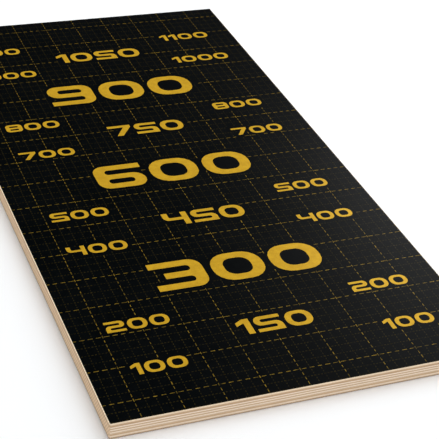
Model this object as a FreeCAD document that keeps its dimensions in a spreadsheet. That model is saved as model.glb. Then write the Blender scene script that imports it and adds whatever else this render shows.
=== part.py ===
"""Film-faced plywood sheet: cross-laid veneers pressed between two phenolic films.

The sheet lies flat. Its origin is the centre of its underside, with +X across the sheet,
+Y along it and +Z up. All lengths are in millimetres.
"""

import FreeCAD
import Part
import Sketcher
import os

# The driving dimensions, as alias, value and what it measures
SIZES = [
    ("sheet_width", 610.0, "outside, across the sheet"),
    ("sheet_length", 1220.0, "outside, along the sheet"),
    ("film_thickness", 0.2, "one phenolic film"),
    ("face_thickness", 2.8, "the face veneer or the back veneer"),
    ("crossband_thickness", 3.15, "the veneer next to the face or the back"),
    ("core_thickness", 2.1, "one inner veneer"),
    ("corner_radius", 3.0, "rounding of the upright corners"),
    ("arris_ease", 1.0, "bevel sanded along the top and bottom arrises"),
]

# An odd number of inner veneers keeps the lay-up balanced about its middle
CORE_PLIES = 7

# The lay-up from the underside to the top, as label and thickness
LAYUP = [
    ("bottom_film", "film_thickness"),
    ("back_ply", "face_thickness"),
    ("lower_crossband", "crossband_thickness"),
    *[(f"core_ply_{number}", "core_thickness") for number in range(CORE_PLIES, 0, -1)],
    ("upper_crossband", "crossband_thickness"),
    ("face_ply", "face_thickness"),
    ("top_film", "film_thickness"),
]

TOLERANCE = 1e-6


def make_size_sheet(doc):
    """The spreadsheet that every sketch, feature and placement reads."""
    sheet = doc.addObject("Spreadsheet::Sheet", "Sizes")
    for row, (alias, value, meaning) in enumerate(SIZES, start=1):
        sheet.set(f"A{row}", meaning)
        sheet.set(f"B{row}", str(value))
        sheet.setAlias(f"B{row}", alias)
    doc.recompute()


def draw_outline(body, inset):
    """A rectangle centred on the body's origin, kept back from the sheet's edges by the inset."""
    sketch = body.newObject("Sketcher::SketchObject", f"{body.Name}_outline")
    ground = next(plane for plane in body.Origin.OriginFeatures if plane.Role == "XY_Plane")
    sketch.AttachmentSupport = [(ground, "")]
    sketch.MapMode = "FlatFace"

    corners = [FreeCAD.Vector(x, y, 0) for x, y in ((-1, -1), (1, -1), (1, 1), (-1, 1))]
    front, right, back, left = [
        sketch.addGeometry(Part.LineSegment(start, end))
        for start, end in zip(corners, corners[1:] + corners[:1])
    ]
    for side, following in ((front, right), (right, back), (back, left), (left, front)):
        sketch.addConstraint(Sketcher.Constraint("Coincident", side, 2, following, 1))
    for side in (front, back):
        sketch.addConstraint(Sketcher.Constraint("Horizontal", side))
    for side in (right, left):
        sketch.addConstraint(Sketcher.Constraint("Vertical", side))
    sketch.addConstraint(Sketcher.Constraint("Symmetric", front, 1, back, 1, -1, 1))

    across = sketch.addConstraint(Sketcher.Constraint("DistanceX", front, 1, front, 2, 2.0))
    along = sketch.addConstraint(Sketcher.Constraint("DistanceY", right, 1, right, 2, 2.0))
    sketch.renameConstraint(across, "across")
    sketch.renameConstraint(along, "along")
    sketch.setExpression("Constraints.across", f"Sizes.sheet_width - 2 * {inset}")
    sketch.setExpression("Constraints.along", f"Sizes.sheet_length - 2 * {inset}")
    return sketch


def edges_where(shape, test):
    """The names of the edges of a shape whose end points pass a test on their heights."""
    return [
        f"Edge{number}"
        for number, edge in enumerate(shape.Edges, start=1)
        if test([vertex.Z for vertex in edge.Vertexes])
    ]


def cut_layer(doc, label, thickness, inset):
    """One film or veneer: a padded outline with its upright corners rounded."""
    body = doc.addObject("PartDesign::Body", label)
    body.Label = label
    pad = body.newObject("PartDesign::Pad", f"{label}_pad")
    pad.Profile = draw_outline(body, inset)
    pad.setExpression("Length", f"Sizes.{thickness}")
    doc.recompute()

    uprights = edges_where(pad.Shape, lambda heights: max(heights) - min(heights) > TOLERANCE)
    corners = body.newObject("PartDesign::Fillet", f"{label}_corners")
    corners.Base = (pad, uprights)
    corners.setExpression("Radius", f"Sizes.corner_radius - {inset}")
    doc.recompute()
    return body


def ease_arris(doc, body, upper):
    """Bevels the whole upper or lower rim of a veneer, back to where its film begins."""
    rounded = body.Tip
    box = rounded.Shape.BoundBox
    level = box.ZMax if upper else box.ZMin
    rim = edges_where(
        rounded.Shape,
        lambda heights: all(abs(height - level) < TOLERANCE for height in heights),
    )
    bevel = body.newObject("PartDesign::Chamfer", f"{body.Name}_arris")
    bevel.Base = (rounded, rim)
    bevel.setExpression("Size", "Sizes.arris_ease")
    doc.recompute()


def build_sheet(doc):
    """Stacks the lay-up, each layer on the one below it."""
    layers = []
    height = "0"
    for label, thickness in LAYUP:
        inset = "Sizes.arris_ease" if thickness == "film_thickness" else "0"
        body = cut_layer(doc, label, thickness, inset)
        body.setExpression("Placement.Base.z", height)
        height = f"{height} + Sizes.{thickness}"
        layers.append(body)
    ease_arris(doc, doc.getObject("back_ply"), upper=False)
    ease_arris(doc, doc.getObject("face_ply"), upper=True)
    doc.recompute()
    return layers


def check(doc, layers):
    """Stops before anything is written if a feature failed or a layer isn't one sound solid."""
    for item in doc.Objects:
        if {"Invalid", "Error"} & set(item.State):
            raise RuntimeError(f"{item.Label} failed: {item.State}")
    for body in layers:
        if body.Shape.isNull() or not body.Shape.isValid() or len(body.Shape.Solids) != 1:
            raise RuntimeError(f"{body.Label} isn't one sound solid")


def write(layers):
    """Writes each layer to a file named after it."""
    os.makedirs("parts", exist_ok=True)
    for body in layers:
        body.Shape.exportStep(os.path.join("parts", f"{body.Label}.step"))


def main():
    doc = FreeCAD.newDocument("plywood_sheet")
    make_size_sheet(doc)
    layers = build_sheet(doc)
    check(doc, layers)
    write(layers)
    for body in layers:
        box = body.Shape.BoundBox
        print(f"{body.Label}: {box.XLength:.2f} x {box.YLength:.2f}, z {box.ZMin:.2f} to {box.ZMax:.2f}")


main()
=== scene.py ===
import math
import bmesh
import bpy
from mathutils import Matrix, Quaternion, Vector


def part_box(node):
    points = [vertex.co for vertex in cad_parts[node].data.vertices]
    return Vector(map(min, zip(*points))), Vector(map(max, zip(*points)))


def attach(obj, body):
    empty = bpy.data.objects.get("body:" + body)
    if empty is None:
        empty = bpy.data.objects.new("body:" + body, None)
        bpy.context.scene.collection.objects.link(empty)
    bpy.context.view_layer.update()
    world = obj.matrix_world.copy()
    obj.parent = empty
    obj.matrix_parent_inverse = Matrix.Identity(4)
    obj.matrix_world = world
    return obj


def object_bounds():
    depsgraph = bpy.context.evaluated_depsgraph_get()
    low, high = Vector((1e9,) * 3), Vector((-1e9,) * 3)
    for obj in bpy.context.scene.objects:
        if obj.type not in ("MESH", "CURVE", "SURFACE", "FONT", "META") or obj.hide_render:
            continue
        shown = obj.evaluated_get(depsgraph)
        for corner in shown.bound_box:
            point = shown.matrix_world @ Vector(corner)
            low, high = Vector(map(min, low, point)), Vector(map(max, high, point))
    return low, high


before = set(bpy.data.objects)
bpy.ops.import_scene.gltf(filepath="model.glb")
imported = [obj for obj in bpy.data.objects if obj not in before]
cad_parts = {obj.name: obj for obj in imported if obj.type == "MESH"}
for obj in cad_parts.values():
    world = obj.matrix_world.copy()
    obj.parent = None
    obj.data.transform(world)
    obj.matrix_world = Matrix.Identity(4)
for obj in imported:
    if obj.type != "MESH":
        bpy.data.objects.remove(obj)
cad_low, cad_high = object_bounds()

MM = 0.001

# The printed side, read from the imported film
_, film_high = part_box("top_film")
FILM_TOP = film_high.z


def srgb(red, green, blue):
    """A colour given as it looks on a screen, from 0 to 255, turned into light."""
    def light(value):
        share = value / 255
        return share / 12.92 if share <= 0.04045 else ((share + 0.055) / 1.055) ** 2.4
    return (light(red), light(green), light(blue), 1.0)


BLACK = (0, 0, 0, 1)
WHITE = (1, 1, 1, 1)

# Film and inks
FILM_DARK = srgb(3, 5, 6)
FILM_PALE = srgb(6, 8, 9)
INK_GOLD = srgb(195, 154, 38)
INK_WORN = srgb(179, 139, 34)
LINE_GOLD = srgb(150, 121, 36)
LINE_WORN = srgb(64, 54, 21)
FAINT_GOLD = srgb(64, 54, 23)
FAINT_WORN = srgb(26, 24, 13)

# Veneers, by the tone that they show at a cut edge
TONES = {
    "face cream": srgb(234, 208, 178),
    "cream": srgb(246, 226, 200),
    "light": srgb(248, 231, 210),
    "dull": srgb(213, 180, 147),
    "middling": srgb(222, 194, 163),
    "brown": srgb(202, 168, 134),
    # Painted light: a lighter copy of the brown tone, for the brown ply low on the edge where less light
    # reaches
    "brown with painted light": srgb(212, 178, 144),
    # Painted shade: the back ply's tone at the short edges, darker so as to stand in for shade along the
    # foot of the sheet
    "dark": srgb(204, 174, 144),
    "tan": srgb(221, 192, 159),
    "deep tan": srgb(200, 168, 135),
    # Painted shade: the back ply's tone at the long edges, darker so as to stand in for shade along the
    # foot of the sheet
    "tan with painted shade": srgb(171, 144, 117),
}
# Painted highlights for the eased upper arris at the short and at the long edges, lighter where light from
# above falls on it
PAINTED_ARRIS_HIGHLIGHT = srgb(245, 223, 194)
PAINTED_LONG_ARRIS_HIGHLIGHT = srgb(255, 238, 208)
GLUE_BROWN = srgb(164, 126, 92)

# The veneers from the underside up, with their tones at the short and at the long edges,
# and whether their fibres run across the sheet
LAYUP = [
    # The back ply's tones are painted shade along the foot of the sheet
    ("back_ply", "dark", "tan with painted shade", True),
    ("lower_crossband", "cream", "tan", False),
    # This ply's brown is lightened with painted light against the shade low on the edge
    ("core_ply_7", "brown with painted light", "tan", True),
    ("core_ply_6", "middling", "tan", False),
    ("core_ply_5", "light", "tan", True),
    ("core_ply_4", "dull", "tan", False),
    ("core_ply_3", "light", "tan", True),
    ("core_ply_2", "dull", "tan", False),
    ("core_ply_1", "light", "tan", True),
    ("upper_crossband", "brown", "deep tan", False),
    ("face_ply", "face cream", "tan", True),
]


class Wire:
    """An output socket. Sums on wires add Math nodes to the tree that they belong to."""

    def __init__(self, nodes, socket):
        self.nodes = nodes
        self.socket = socket

    def __add__(self, other):
        return self.nodes.math("ADD", self, other)

    def __radd__(self, other):
        return self.nodes.math("ADD", other, self)

    def __sub__(self, other):
        return self.nodes.math("SUBTRACT", self, other)

    def __rsub__(self, other):
        return self.nodes.math("SUBTRACT", other, self)

    def __mul__(self, other):
        return self.nodes.math("MULTIPLY", self, other)

    def __rmul__(self, other):
        return self.nodes.math("MULTIPLY", other, self)

    def __truediv__(self, other):
        return self.nodes.math("DIVIDE", self, other)

    def __rtruediv__(self, other):
        return self.nodes.math("DIVIDE", other, self)

    def __lt__(self, other):
        return self.nodes.math("LESS_THAN", self, other)

    def __gt__(self, other):
        return self.nodes.math("GREATER_THAN", self, other)

    def __neg__(self):
        return self.nodes.math("SUBTRACT", 0.0, self)

    def __abs__(self):
        return self.nodes.math("ABSOLUTE", self)


class Nodes:
    """A node tree that is written as Python expressions."""

    def __init__(self, tree):
        self.tree = tree

    def add(self, kind, settings=None, inputs=None, output=0):
        """Any node: its type, its settings, the values or wires of its sockets, and the output wanted."""
        node = self.tree.nodes.new(kind)
        for name, value in (settings or {}).items():
            setattr(node, name, value)
        for key, value in (inputs or {}).items():
            self.feed(self.find(node, key), value)
        return self.pick(node, output)

    def find(self, node, key):
        if isinstance(key, int):
            return node.inputs[key]
        return next(socket for socket in node.inputs if socket.name == key and socket.enabled)

    def pick(self, node, key):
        """The output of that name, or the first one, or nothing from a node that ends its tree."""
        outputs = [socket for socket in node.outputs if socket.enabled and key in (0, socket.name)]
        return Wire(self, outputs[0]) if outputs else None

    def feed(self, socket, value):
        for item in value if isinstance(value, list) else [value]:
            if isinstance(item, Wire):
                self.tree.links.new(item.socket, socket)
            else:
                socket.default_value = item

    def math(self, operation, *values):
        return self.add("ShaderNodeMath", {"operation": operation}, dict(enumerate(values)))

    def split(self, vector):
        """The three parts of a vector."""
        parts = self.add("ShaderNodeSeparateXYZ", inputs={"Vector": vector})
        return [Wire(self, socket) for socket in parts.socket.node.outputs]

    def join(self, x, y, z):
        return self.add("ShaderNodeCombineXYZ", inputs={"X": x, "Y": y, "Z": z})

    def noise(self, place, scale=1.0, detail=2.0, roughness=0.5):
        """Cloudy noise about 0.5, with so many lumps in a unit of length."""
        return self.add(
            "ShaderNodeTexNoise",
            inputs={"Vector": place, "Scale": scale, "Detail": detail, "Roughness": roughness},
        )

    def step(self, value, low, high):
        """Rises smoothly from 0 at low to 1 at high."""
        return self.add(
            "ShaderNodeMapRange",
            {"interpolation_type": "SMOOTHSTEP"},
            {"Value": value, "From Min": low, "From Max": high},
        )

    def blend(self, share, first, second):
        """One colour turning into another."""
        return self.add(
            "ShaderNodeMix",
            {"data_type": "RGBA"},
            {"Factor": share, "A": first, "B": second},
        )

    def tint(self, colour, brightness):
        """A colour made lighter or darker by a wire."""
        return self.add(
            "ShaderNodeVectorMath",
            {"operation": "SCALE"},
            {"Vector": colour, "Scale": brightness},
        )

    def relief(self, height, depth, strength):
        """A bumpy normal."""
        return self.add(
            "ShaderNodeBump",
            inputs={"Strength": strength, "Distance": depth, "Height": height},
        )


def start_material(name):
    material = bpy.data.materials.new(name)
    material.use_nodes = True
    material.node_tree.nodes.clear()
    return material, Nodes(material.node_tree)


def close_material(nodes, **inputs):
    """Ends a material in one Principled surface, whose sockets are named with underscores for spaces."""
    sockets = {name.replace("_", " "): value for name, value in inputs.items()}
    shader = nodes.add("ShaderNodeBsdfPrincipled", inputs=sockets)
    nodes.add("ShaderNodeOutputMaterial", inputs={"Surface": shader})


def set_finish(piece, material):
    piece.data.materials.clear()
    piece.data.materials.append(material)


# The film's marks, as lumps in a metre. Fibres and scuffs have more of them in one direction
FILM_CLOUDS = 9.0
FILM_SPECKS = 95.0
FILM_FIBRES_ACROSS = 260
FILM_FIBRES_ALONG = 900
SCUFFS_ACROSS = 40
SCUFFS_ALONG = 7

# How much noise it takes for the paler film and for a scuff to begin and to be full
PALE_FILM_RANGE = (0.38, 0.62)
SCUFF_RANGE = (0.62, 0.78)

FILM_ROUGHNESS = 0.35
CLOUD_ROUGHNESS = 0.06
FIBRE_ROUGHNESS = 0.06
SCUFF_ROUGHNESS = 0.05
FILM_GLOSS = 0.001
FILM_RELIEF = 0.05 * MM


def phenolic_film():
    """Satin resin film: near black and faintly cloudy, with the fibres of its paper showing through."""
    material, nodes = start_material("phenolic_film")
    place = nodes.add("ShaderNodeTexCoord", output="Object")
    x, y, z = nodes.split(place)
    clouds = nodes.noise(place, FILM_CLOUDS, detail=5.0, roughness=0.6)
    specks = nodes.noise(place, FILM_SPECKS, detail=4.0, roughness=0.6)
    fibres = nodes.noise(nodes.join(x * FILM_FIBRES_ACROSS, y * FILM_FIBRES_ALONG, z), detail=3.0)
    scratches = nodes.noise(nodes.join(x * SCUFFS_ACROSS, y * SCUFFS_ALONG, z), detail=6.0)
    scuffs = nodes.step(scratches, *SCUFF_RANGE)
    pale = nodes.step(0.5 * clouds + 0.5 * specks, *PALE_FILM_RANGE)
    roughness = FILM_ROUGHNESS + CLOUD_ROUGHNESS * (clouds - 0.5)
    roughness = roughness + FIBRE_ROUGHNESS * (fibres - 0.5) + SCUFF_ROUGHNESS * scuffs
    close_material(
        nodes,
        Base_Color=nodes.blend(pale, FILM_DARK, FILM_PALE),
        Roughness=roughness,
        Specular_IOR_Level=FILM_GLOSS,
        Normal=nodes.relief(fibres + 0.6 * clouds, FILM_RELIEF, strength=0.12),
    )
    return material


# The ink's marks, as lumps in a metre
INK_PATCHES = 80.0
INK_GRAIN = 900.0

# The patches' part in the wear, against the grain's, and how much of both it takes to look worn
PATCH_PART = 0.7
WORN_INK_RANGE = (0.36, 0.64)

INK_ROUGHNESS = 0.32
INK_ROUGHNESS_SPREAD = 0.12
INK_METAL = 0.016
INK_GLOSS = 0.0008


def printing_ink(name, fresh, worn):
    """Screen ink with a faint metal sheen, a little uneven where it soaked in."""
    material, nodes = start_material(name)
    place = nodes.add("ShaderNodeTexCoord", output="Object")
    patches = nodes.noise(place, INK_PATCHES, detail=6.0, roughness=0.65)
    grain = nodes.noise(place, INK_GRAIN, detail=2.0)
    wear = nodes.step(PATCH_PART * patches + (1 - PATCH_PART) * grain, *WORN_INK_RANGE)
    close_material(
        nodes,
        Base_Color=nodes.blend(wear, fresh, worn),
        Roughness=INK_ROUGHNESS + INK_ROUGHNESS_SPREAD * (grain - 0.5),
        Metallic=INK_METAL,
        Specular_IOR_Level=INK_GLOSS,
    )
    return material


# How far the layers rise and fall along an edge, and the lumps of that wander in a metre
LAYER_WANDER = 0.7 * MM
WANDER_ALONG = 14
WANDER_UP = 30

# The joints between layers, as shares of a layer's thickness
JOINT_BLUR = 0.08
GLUE_RANGE = (0.02, 0.09)

# How strongly the glue shows at every edge, and how much more at the short ones
GLUE_TINT = 0.25
SHORT_EDGE_GLUE = 0.3

# The upward lean of a face at which the painted highlight on the eased arris begins and is full
ARRIS_HIGHLIGHT_LEAN = (0.3, 0.6)

# The lean towards the sides at which a face turns from a short into a long edge
LONG_EDGE_RANGE = (0.5, 0.7)

# The wood's marks, as lumps in a metre
FIBRES_ALONG = 22
FIBRES_UP = 2600
PORES = 1300.0
PATCHES_ALONG = 38
PATCHES_UP = 900

# Steps through the noise that set the long edges' pattern apart from the short edges'
LONG_EDGE_WANDER = 5
LONG_EDGE_PATCHES = 3

# The saw's marks, as bands in about a third of a metre, and how far they lean
SAW_BANDS = 60.0
SAW_LEAN = 0.72

# How far each kind of mark changes the wood's brightness
FIBRE_CONTRAST = 0.26
PORE_CONTRAST = 0.24
PATCH_CONTRAST = 0.2
SAW_CONTRAST = 0.03
LONG_EDGE_SAW = 0.21

# The share of the fibres' marks that end grain loses, and of the pores' that side grain keeps
END_GRAIN_LOSS = 0.6
SIDE_GRAIN_PORES = 0.35

VENEER_ROUGHNESS = 0.72
VENEER_ROUGHNESS_SPREAD = 0.2
VENEER_GLOSS = 0.05
VENEER_RELIEF = 0.1 * MM


def banded(nodes, share, own, below, above):
    """A veneer's tone, turning into its neighbours' tones past its upper and lower joints."""
    past_top = nodes.step(share, 1 - JOINT_BLUR, 1 + JOINT_BLUR)
    past_bottom = nodes.step(share, JOINT_BLUR, -JOINT_BLUR)
    colour = nodes.blend(past_top, TONES[own], TONES[above])
    return nodes.blend(past_bottom, colour, TONES[below])


def saw_marks(nodes, run, z):
    """Uneven bands that lean along the edge."""
    return nodes.add(
        "ShaderNodeTexWave",
        {"wave_type": "BANDS", "bands_direction": "X"},
        {
            "Vector": nodes.join(run + SAW_LEAN * z, 0.0, 0.0),
            "Scale": SAW_BANDS,
            "Distortion": 2.2,
            "Detail": 2.0,
            "Detail Scale": 0.8,
        },
        output="Fac",
    )


def veneer(name, short_tones, long_tones, across):
    """A veneer seen at the sheet's cut edges, with wavy glue lines where it meets its neighbours."""
    material, nodes = start_material(f"veneer_{name}")
    low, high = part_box(name)
    place = nodes.add("ShaderNodeTexCoord", output="Object")
    x, y, z = nodes.split(place)
    facing_x, _, facing_z = nodes.split(nodes.add("ShaderNodeNewGeometry", output="Normal"))
    long_edge = nodes.step(abs(facing_x), *LONG_EDGE_RANGE)
    short_edge = 1 - long_edge
    run = x + long_edge * (y - x)
    end_grain = long_edge if across else short_edge

    # The layers rise and fall a little along each edge
    wander_place = nodes.join(run * WANDER_ALONG, z * WANDER_UP, long_edge * LONG_EDGE_WANDER)
    wander = nodes.noise(wander_place, detail=3.0)
    height = z + LAYER_WANDER * (wander - 0.5)
    share = (height - low.z) / (high.z - low.z)
    colour = nodes.blend(
        long_edge,
        banded(nodes, share, *short_tones),
        banded(nodes, share, *long_tones),
    )
    from_joint = 0.5 - abs(share - 0.5)
    glue = 1 - nodes.step(abs(from_joint), *GLUE_RANGE)
    colour = nodes.blend(glue * (GLUE_TINT + SHORT_EDGE_GLUE * short_edge), colour, GLUE_BROWN)

    # The eased upper arris faces up, so it gets a painted highlight: a lighter colour for the light that
    # falls on it from above
    arris_highlight = nodes.blend(long_edge, PAINTED_ARRIS_HIGHLIGHT, PAINTED_LONG_ARRIS_HIGHLIGHT)
    colour = nodes.blend(nodes.step(facing_z, *ARRIS_HIGHLIGHT_LEAN), colour, arris_highlight)

    # Fibres lie along the edge or end at it, and the saw left slanted marks
    fibre_place = nodes.join(run * FIBRES_ALONG, height * FIBRES_UP, long_edge)
    fibres = nodes.noise(fibre_place, detail=4.0, roughness=0.6)
    pores = nodes.noise(place, PORES, detail=2.0)
    patch_place = nodes.join(run * PATCHES_ALONG, low.z * PATCHES_UP, long_edge * LONG_EDGE_PATCHES)
    patches = nodes.noise(patch_place, detail=2.0)
    saw = saw_marks(nodes, run, z)
    bright = 1 + FIBRE_CONTRAST * (fibres - 0.5) * (1 - END_GRAIN_LOSS * end_grain)
    pore_share = SIDE_GRAIN_PORES + (1 - SIDE_GRAIN_PORES) * end_grain
    bright = bright + PORE_CONTRAST * (pores - 0.5) * pore_share
    bright = bright + PATCH_CONTRAST * (patches - 0.5)
    bright = bright + (saw - 0.5) * (SAW_CONTRAST + LONG_EDGE_SAW * long_edge)
    close_material(
        nodes,
        Base_Color=nodes.tint(colour, bright),
        Roughness=VENEER_ROUGHNESS + VENEER_ROUGHNESS_SPREAD * (fibres - 0.5),
        Specular_IOR_Level=VENEER_GLOSS,
        Normal=nodes.relief(fibres + long_edge * saw - glue, VENEER_RELIEF, strength=0.25),
    )
    return material


def dress_sheet():
    """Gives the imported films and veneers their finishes."""
    film = phenolic_film()
    for name in ("top_film", "bottom_film"):
        set_finish(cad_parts[name], film)
    last = len(LAYUP) - 1
    for index, (name, short_tone, long_tone, across) in enumerate(LAYUP):
        _, short_below, long_below, _ = LAYUP[max(index - 1, 0)]
        _, short_above, long_above, _ = LAYUP[min(index + 1, last)]
        short_tones = (short_tone, short_below, short_above)
        long_tones = (long_tone, long_below, long_above)
        set_finish(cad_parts[name], veneer(name, short_tones, long_tones, across))


# Printed distances from the front edge, in millimetres
LARGE_NUMERALS = (300, 600, 900)
MIDDLE_NUMERALS = (150, 450, 750, 1050)
SMALL_NUMERALS = tuple(number for number in range(100, 1200, 100) if number not in LARGE_NUMERALS)
LARGE_HEIGHT = 72 * MM
MIDDLE_HEIGHT = 36 * MM
SMALL_HEIGHT = 25 * MM
SIDE_COLUMN = 200 * MM
INK_THICKNESS = 0.04 * MM
MERGE_DISTANCE = 0.001 * MM

# A digit's proportions, as shares of its height
DIGIT_WIDTH = 1.2
ONE_WIDTH = 0.62
DIGIT_GAP = 0.17
STEM = 0.28
BAR = 0.2
ROUNDING = 0.29
ZERO_ROUNDING = 0.44
EYE_ROUNDING = 0.09
ARC_STEPS = 5

# The flag of the one, and the slanted leg of the seven
FLAG_TOP = 0.8
FLAG_TIP = 0.57
FLAG_ROOT = 0.74
LEG_FOOT = 0.24 * DIGIT_WIDTH
LEG_WIDTH = 1.15 * STEM
LEG_SHOULDER = 1.35 * STEM


def digit_outlines():
    """The digits from 0 to 9, each as loops of corners given by x, y and radius. Later loops are holes."""
    low, high = 0.5 - BAR / 2, 0.5 + BAR / 2
    floor, roof = BAR, 1 - BAR
    left, right, width = STEM, DIGIT_WIDTH - STEM, DIGIT_WIDTH
    outer, inner = ROUNDING, EYE_ROUNDING

    def box(x_low, x_high, y_low, y_high, radius):
        corners = [(x_low, y_low), (x_high, y_low), (x_high, y_high), (x_low, y_high)]
        return [(x, y, radius) for x, y in corners]

    def mirrored(loop):
        return [(width - x, y, radius) for x, y, radius in loop]

    def turned(loop):
        return [(width - x, 1 - y, radius) for x, y, radius in loop]

    rim = box(0, width, 0, 1, outer)
    wide_rim = box(0, width, 0, 1, ZERO_ROUNDING)
    eye = box(left, right, floor, roof, ZERO_ROUNDING - BAR)
    lower_eye = box(left, right, floor, low, inner)
    upper_eye = box(left, right, high, roof, inner)
    stem_left = ONE_WIDTH - STEM
    one = [
        (stem_left, 0, 0), (ONE_WIDTH, 0, 0), (ONE_WIDTH, 1, 0), (stem_left, 1, 0),
        (0, FLAG_TOP, 0), (0, FLAG_TIP, 0), (stem_left, FLAG_ROOT, 0),
    ]
    two = [
        (0, 0, 0), (width, 0, 0), (width, floor, 0),
        (left, floor, inner), (left, low, inner), (width, low, outer),
        (width, 1, outer), (0, 1, 0), (0, roof, 0),
        (right, roof, inner), (right, high, inner), (0, high, outer),
    ]
    three = [
        (0, 0, 0), (width, 0, outer), (width, 1, outer), (0, 1, 0),
        (0, roof, 0), (right, roof, inner), (right, high, inner), (left, high, 0),
        (left, low, 0), (right, low, inner), (right, floor, inner), (0, floor, 0),
    ]
    four = [
        (right, 0, 0), (width, 0, 0), (width, 1, 0), (right, 1, 0), (right, high, 0),
        (left, high, inner), (left, 1, 0), (0, 1, 0), (0, low, outer), (right, low, 0),
    ]
    six = [
        (0, 0, outer), (width, 0, outer), (width, high, outer), (left, high, inner),
        (left, roof, inner), (width, roof, 0), (width, 1, 0), (0, 1, outer),
    ]
    seven = [
        (0, 1, 0), (width, 1, 0), (width, roof, 0), (LEG_FOOT + LEG_WIDTH, 0, 0),
        (LEG_FOOT, 0, 0), (width - LEG_SHOULDER, roof, 0), (0, roof, 0),
    ]
    return [
        [wide_rim, eye], [one], [two], [three], [four], [mirrored(two)],
        [six, lower_eye], [seven], [rim, lower_eye, upper_eye], [turned(six), upper_eye],
    ]


DIGITS = digit_outlines()


def rounded_loop(corners):
    """The points of a closed outline, with a quarter arc at each corner that has a radius."""
    points = []
    for index, (x, y, radius) in enumerate(corners):
        corner = Vector((x, y))
        if radius == 0:
            points.append(corner)
            continue
        back = (Vector(corners[index - 1][:2]) - corner).normalized()
        onward = (Vector(corners[(index + 1) % len(corners)][:2]) - corner).normalized()
        centre = corner + radius * (back + onward)
        for step in range(ARC_STEPS + 1):
            turn = math.pi / 2 * step / ARC_STEPS
            points.append(centre - radius * (math.cos(turn) * onward + math.sin(turn) * back))
    return points


def mesh_of(piece):
    """The shape that a curve or a modifier makes, as a plain mesh."""
    bpy.context.view_layer.update()
    made = piece.evaluated_get(bpy.context.evaluated_depsgraph_get())
    return bpy.data.meshes.new_from_object(made)


def numeral(number, digit_height, x, with_eyes):
    """One number as a thin inked mesh, centred on its distance along the sheet."""
    outline = bpy.data.curves.new("numeral", "CURVE")
    outline.dimensions = "2D"
    outline.fill_mode = "BOTH"
    outline.extrude = INK_THICKNESS / 2
    digits = [int(digit) for digit in str(number)]
    widths = [ONE_WIDTH if digit == 1 else DIGIT_WIDTH for digit in digits]
    pen = -(sum(widths) + DIGIT_GAP * (len(digits) - 1)) / 2
    for digit, width in zip(digits, widths):
        for corners in DIGITS[digit] if with_eyes else DIGITS[digit][:1]:
            points = rounded_loop(corners)
            loop = outline.splines.new("POLY")
            loop.points.add(len(points) - 1)
            for knot, point in zip(loop.points, points):
                knot.co = (digit_height * (pen + point.x), digit_height * (point.y - 0.5), 0, 1)
            loop.use_cyclic_u = True
        pen += width + DIGIT_GAP
    holder = bpy.data.objects.new("numeral", outline)
    bpy.context.scene.collection.objects.link(holder)
    mesh = mesh_of(holder)
    bpy.data.objects.remove(holder)
    mesh.transform(Matrix.Translation((x, cad_low.y + number * MM, FILM_TOP + INK_THICKNESS / 2)))
    return mesh


def distance_numerals(name, with_eyes):
    """All the printed distances, as one piece."""
    places = [(number, LARGE_HEIGHT, 0.0) for number in LARGE_NUMERALS]
    places += [(number, MIDDLE_HEIGHT, 0.0) for number in MIDDLE_NUMERALS]
    places += [(number, SMALL_HEIGHT, side * SIDE_COLUMN) for number in SMALL_NUMERALS for side in (-1, 1)]
    shape = bmesh.new()
    for number, height, x in places:
        shape.from_mesh(numeral(number, height, x, with_eyes))
    bmesh.ops.remove_doubles(shape, verts=shape.verts, dist=MERGE_DISTANCE)
    bmesh.ops.recalc_face_normals(shape, faces=shape.faces)
    mesh = bpy.data.meshes.new(name)
    shape.to_mesh(mesh)
    shape.free()
    piece = bpy.data.objects.new(name, mesh)
    bpy.context.scene.collection.objects.link(piece)
    return piece


# The printed grid: strong lines across and along, with three faint ones between
STRONG_ACROSS = 62.5 * MM
STRONG_ALONG = 71.5 * MM
CELLS_PER_STRONG = 4
GRID_SHIFT = -9 * MM
PRINT_MARGIN = 0.3 * MM
MARK_CLEARANCE = 6 * MM

# Dashes are printed unevenly, between these shares of their length
SHORTEST_DASH = 0.78
LONGEST_DASH = 1.08

# A dash is on a crossing when it is nearer to it than this share of the dashes' pitch
CROSSING_SHARE = 0.3

# Lines and dashes that the net has past the print before it is cut down
SPARE_LINES = 1
SPARE_DASHES = 2


def drop_points(nodes, net, selection):
    return nodes.add(
        "GeometryNodeDeleteGeometry",
        {"domain": "POINT"},
        {"Geometry": net, "Selection": selection},
    )


def distance_to_numerals(nodes, given):
    marks = nodes.add(
        "GeometryNodeObjectInfo",
        inputs={"Object": given["Numerals"]},
        output="Geometry",
    )
    return nodes.add(
        "GeometryNodeProximity",
        {"target_element": "FACES"},
        {"Geometry": marks},
        output="Distance",
    )


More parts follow.
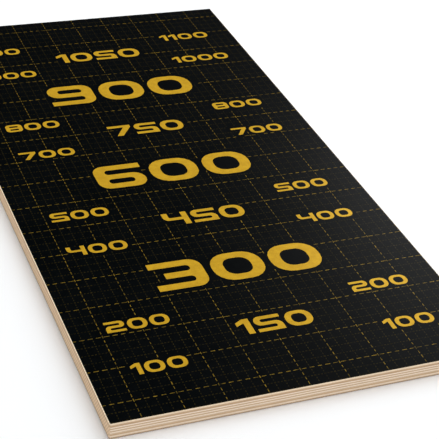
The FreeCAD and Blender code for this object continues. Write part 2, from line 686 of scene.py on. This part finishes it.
def dash_rows(nodes, given, along_y, strong):
    """One direction's lines: a dash on each point of a net, kept off the numerals and inside the print."""
    def turn(first, second):
        """A pair of values, swapped for lines that run across the sheet."""
        return (first, second) if along_y else (second, first)

    line_way, dash_way = turn("across", "along")
    line_cell = given[f"Cell {line_way}"]
    dash_cell = given[f"Cell {dash_way}"]
    dash_pitch = dash_cell / given[f"Dashes {dash_way}"]

    # A net with a point for each dash, wider than the print
    lines = nodes.math("CEIL", given[f"Reach {line_way}"] / line_cell) + SPARE_LINES
    dashes = nodes.math("CEIL", given[f"Reach {dash_way}"] / dash_pitch) + SPARE_DASHES
    size_x, size_y = turn(2 * lines * line_cell, 2 * dashes * dash_pitch)
    count_x, count_y = turn(2 * lines + 1, 2 * dashes + 1)
    net = nodes.add(
        "GeometryNodeMeshGrid",
        inputs={"Size X": size_x, "Size Y": size_y, "Vertices X": count_x, "Vertices Y": count_y},
    )
    phase_x, phase_y = turn(0.0, dash_pitch * given[f"Phase {dash_way}"])
    middle = nodes.join(given["Shift"] + phase_x, phase_y, given["Height"])
    net = nodes.add("GeometryNodeTransform", inputs={"Geometry": net, "Translation": middle})

    # Only the strong or the faint lines stay, inside the print and clear of the numerals
    x, y, _ = nodes.split(nodes.add("GeometryNodeInputPosition"))
    line_place, dash_place = turn(x - given["Shift"], y)
    line_number = nodes.math("ROUND", line_place / line_cell)
    line_kind = nodes.math("FLOORED_MODULO", line_number, float(CELLS_PER_STRONG))
    net = drop_points(nodes, net, (line_kind > 0.5) if strong else (line_kind < 0.5))
    net = drop_points(nodes, net, abs(x) > given["Reach across"])
    net = drop_points(nodes, net, abs(y) > given["Reach along"])
    net = drop_points(nodes, net, distance_to_numerals(nodes, given) < given["Clearance"])

    # Dashes of uneven length, with others where lines cross
    sides = turn(given["Line width"], dash_pitch * given[f"Inked {dash_way}"])
    dash = nodes.add("GeometryNodeMeshCube", inputs={"Size": nodes.join(*sides, given["Ink thickness"])})
    length = nodes.add(
        "FunctionNodeRandomValue",
        {"data_type": "FLOAT"},
        {"Min": SHORTEST_DASH, "Max": LONGEST_DASH, "Seed": given["Seed"]},
    )
    crossing_place = dash_cell * nodes.math("ROUND", dash_place / dash_cell)
    on_crossing = abs(dash_place - crossing_place) < CROSSING_SHARE * dash_pitch
    width = 1 + on_crossing * (given["Crossing width"] - 1)
    length = length * (1 + on_crossing * (given[f"Crossing {dash_way}"] - 1))
    return nodes.add(
        "GeometryNodeInstanceOnPoints",
        inputs={"Points": net, "Instance": dash, "Scale": nodes.join(*turn(width, length), 1.0)},
    )


def trim(nodes, dashes, given):
    """Cuts the dashes off where the print ends."""
    def limited(place, reach):
        return nodes.math("MINIMUM", nodes.math("MAXIMUM", place, -reach), reach)

    x, y, z = nodes.split(nodes.add("GeometryNodeInputPosition"))
    inside = nodes.join(limited(x, given["Reach across"]), limited(y, given["Reach along"]), z)
    return nodes.add("GeometryNodeSetPosition", inputs={"Geometry": dashes, "Position": inside})


def dashed_lines(name, strong, values, ink):
    """The strong or the faint lines of the printed grid, as one piece of thin inked dashes."""
    tree = bpy.data.node_groups.new(name, "GeometryNodeTree")
    tree.interface.new_socket(name="Geometry", in_out="OUTPUT", socket_type="NodeSocketGeometry")
    kinds = {"Numerals": "NodeSocketObject", "Seed": "NodeSocketInt"}
    names = {}
    for key in values:
        kind = kinds.get(key, "NodeSocketFloat")
        names[key] = tree.interface.new_socket(name=key, in_out="INPUT", socket_type=kind).identifier
    nodes = Nodes(tree)
    group = nodes.add("NodeGroupInput").socket.node
    given = {key: Wire(nodes, group.outputs[key]) for key in values}
    rows = [dash_rows(nodes, given, along_y, strong) for along_y in (True, False)]
    joined = nodes.add("GeometryNodeJoinGeometry", inputs={"Geometry": rows})
    solid = nodes.add("GeometryNodeRealizeInstances", inputs={"Geometry": joined})
    trimmed = trim(nodes, solid, given)
    inked = nodes.add("GeometryNodeSetMaterial", inputs={"Geometry": trimmed, "Material": ink})
    nodes.add("NodeGroupOutput", inputs={"Geometry": inked})

    piece = bpy.data.objects.new(name, bpy.data.meshes.new(name))
    bpy.context.scene.collection.objects.link(piece)
    modifier = piece.modifiers.new("lines", "NODES")
    modifier.node_group = tree
    for key, value in values.items():
        modifier[names[key]] = value
    mesh = mesh_of(piece)
    piece.modifiers.clear()
    piece.data = mesh
    return piece


def print_grid():
    """The strong and the faint dashed lines, which keep clear of the numerals and out of their eyes."""
    filled_numerals = distance_numerals("filled_numerals", with_eyes=False)
    shared = {
        "Cell across": STRONG_ACROSS / CELLS_PER_STRONG,
        "Cell along": STRONG_ALONG / CELLS_PER_STRONG,
        "Reach across": film_high.x - PRINT_MARGIN,
        "Reach along": film_high.y - PRINT_MARGIN,
        "Shift": GRID_SHIFT,
        "Height": FILM_TOP,
        "Clearance": MARK_CLEARANCE,
        "Numerals": filled_numerals,
    }
    # Dashes are counted in a faint cell, and a phase is a share of the dashes' pitch
    strong_values = {
        "Dashes across": 1.25,
        "Dashes along": 1.75,
        "Phase across": 0.5,
        "Phase along": 0.0,
        "Inked across": 0.68,
        "Inked along": 0.58,
        "Line width": 0.95 * MM,
        "Ink thickness": INK_THICKNESS,
        "Crossing width": 1.1,
        "Crossing across": 0.9,
        "Crossing along": 1.0,
        "Seed": 3,
    }
    # The faint ink is thinner, so that no surface of it lies in one of the strong ink
    faint_values = {
        "Dashes across": 3.0,
        "Dashes along": 3.0,
        "Phase across": 0.0,
        "Phase along": 0.0,
        "Inked across": 0.55,
        "Inked along": 0.5,
        "Line width": 0.9 * MM,
        "Ink thickness": 0.6 * INK_THICKNESS,
        "Crossing width": 1.8,
        "Crossing across": 1.0,
        "Crossing along": 1.0,
        "Seed": 5,
    }
    strong_ink = printing_ink("grid_ink", LINE_GOLD, LINE_WORN)
    faint_ink = printing_ink("faint_grid_ink", FAINT_GOLD, FAINT_WORN)
    lines = (
        dashed_lines("strong_grid_lines", True, shared | strong_values, strong_ink),
        dashed_lines("faint_grid_lines", False, shared | faint_values, faint_ink),
    )
    bpy.data.objects.remove(filled_numerals)
    return lines


# The camera, from the photograph's viewing angle
CAMERA_AIM = Vector((0.0199, -0.1795, FILM_TOP))
CAMERA_DISTANCE = 2.2384
CAMERA_AZIMUTH = math.radians(-24.451)
CAMERA_ELEVATION = math.radians(32.903)
CAMERA_ROLL = math.radians(-5.812)
CAMERA_LENS = 110.876
CAMERA_SENSOR = 36.0


def place_camera():
    forward = Vector((
        -math.sin(CAMERA_AZIMUTH) * math.cos(CAMERA_ELEVATION),
        math.cos(CAMERA_AZIMUTH) * math.cos(CAMERA_ELEVATION),
        -math.sin(CAMERA_ELEVATION),
    ))
    level = forward.cross(Vector((0, 0, 1))).normalized()
    right = Quaternion(forward, CAMERA_ROLL) @ level
    up = right.cross(forward)
    lens = bpy.data.cameras.new("camera")
    lens.lens = CAMERA_LENS
    lens.sensor_width = CAMERA_SENSOR
    camera = bpy.data.objects.new("camera", lens)
    turn = Matrix((right, up, -forward)).transposed().to_4x4()
    camera.matrix_world = Matrix.Translation(CAMERA_AIM - CAMERA_DISTANCE * forward) @ turn
    bpy.context.scene.collection.objects.link(camera)
    bpy.context.scene.camera = camera


# The floor, and how far from the sheet it begins and ends turning plain white
FLOOR_REACH = 40.0
FLOOR_GAP = 0.1 * MM
FLOOR_WHITE = (0.965, 0.98, 0.995, 1.0)
FLOOR_FADE = (1.5, 3.5)

# The room's light and the lamps
SKY_LIGHT = 0.63
SOFTBOX_PLACE = Vector((3.6, 1.8, 5.0))
SOFTBOX_WIDTH = 11.0
SOFTBOX_HEIGHT = 11.0
SOFTBOX_POWER = 460.0
STRIP_PLACE = Vector((4.31, 3.27, 2.6))
STRIP_WIDTH = 3.55
STRIP_HEIGHT = 0.3
STRIP_POWER = 2200.0


def seen_directly(nodes):
    """1 on rays that show the room itself, straight or mirrored, and 0 on rays that gather its light."""
    path = nodes.add("ShaderNodeLightPath").socket.node.outputs
    kinds = ("Is Camera Ray", "Is Glossy Ray", "Is Transmission Ray")
    seen = sum(Wire(nodes, path[kind]) for kind in kinds)
    return nodes.math("MINIMUM", seen, 1.0)


def lay_floor():
    """A wide pale floor just under the sheet, which turns plain white far away from it."""
    mesh = bpy.data.meshes.new("floor")
    corners = [(-1, -1), (1, -1), (1, 1), (-1, 1)]
    points = [(x * FLOOR_REACH, y * FLOOR_REACH, -FLOOR_GAP) for x, y in corners]
    mesh.from_pydata(points, [], [(0, 1, 2, 3)])
    floor = bpy.data.objects.new("floor", mesh)
    bpy.context.scene.collection.objects.link(floor)
    material, nodes = start_material("floor_white")
    place = nodes.add("ShaderNodeTexCoord", output="Object")
    distance = nodes.add("ShaderNodeVectorMath", {"operation": "LENGTH"}, {"Vector": place}, output="Value")
    far = nodes.step(distance, *FLOOR_FADE) * seen_directly(nodes)
    close_material(
        nodes,
        Base_Color=nodes.blend(far, FLOOR_WHITE, BLACK),
        Emission_Color=nodes.blend(far, BLACK, WHITE),
        Emission_Strength=1.0,
        Roughness=1.0,
        Specular_IOR_Level=0.0,
    )
    set_finish(floor, material)


def hang_lamp(name, place, width, height, power):
    """A soft lamp that points at the middle of the sheet."""
    lamp = bpy.data.lights.new(name, "AREA")
    lamp.shape = "RECTANGLE"
    lamp.size = width
    lamp.size_y = height
    lamp.energy = power
    holder = bpy.data.objects.new(name, lamp)
    holder.location = place
    holder.rotation_mode = "QUATERNION"
    holder.rotation_quaternion = (-place).to_track_quat("-Z", "Y")
    bpy.context.scene.collection.objects.link(holder)
    return holder


def light_studio():
    """An even white room, a big softbox on the right, and a low strip lamp for the film's sheen alone."""
    world = bpy.data.worlds.new("studio")
    world.use_nodes = True
    world.node_tree.nodes.clear()
    nodes = Nodes(world.node_tree)
    strength = SKY_LIGHT + (1 - SKY_LIGHT) * seen_directly(nodes)
    room = nodes.add("ShaderNodeBackground", inputs={"Color": WHITE, "Strength": strength})
    nodes.add("ShaderNodeOutputWorld", inputs={"Surface": room})
    bpy.context.scene.world = world
    softbox = hang_lamp("softbox", SOFTBOX_PLACE, SOFTBOX_WIDTH, SOFTBOX_HEIGHT, SOFTBOX_POWER)
    softbox.visible_glossy = False
    strip = hang_lamp("strip", STRIP_PLACE, STRIP_WIDTH, STRIP_HEIGHT, STRIP_POWER)
    strip.visible_diffuse = False


def main():
    dress_sheet()
    numerals = distance_numerals("distance_numerals", with_eyes=True)
    set_finish(numerals, printing_ink("numeral_ink", INK_GOLD, INK_WORN))
    for piece in (numerals, *print_grid()):
        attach(piece, "root")
    lay_floor()
    light_studio()
    place_camera()
    bpy.context.scene.view_settings.view_transform = "Standard"


main()
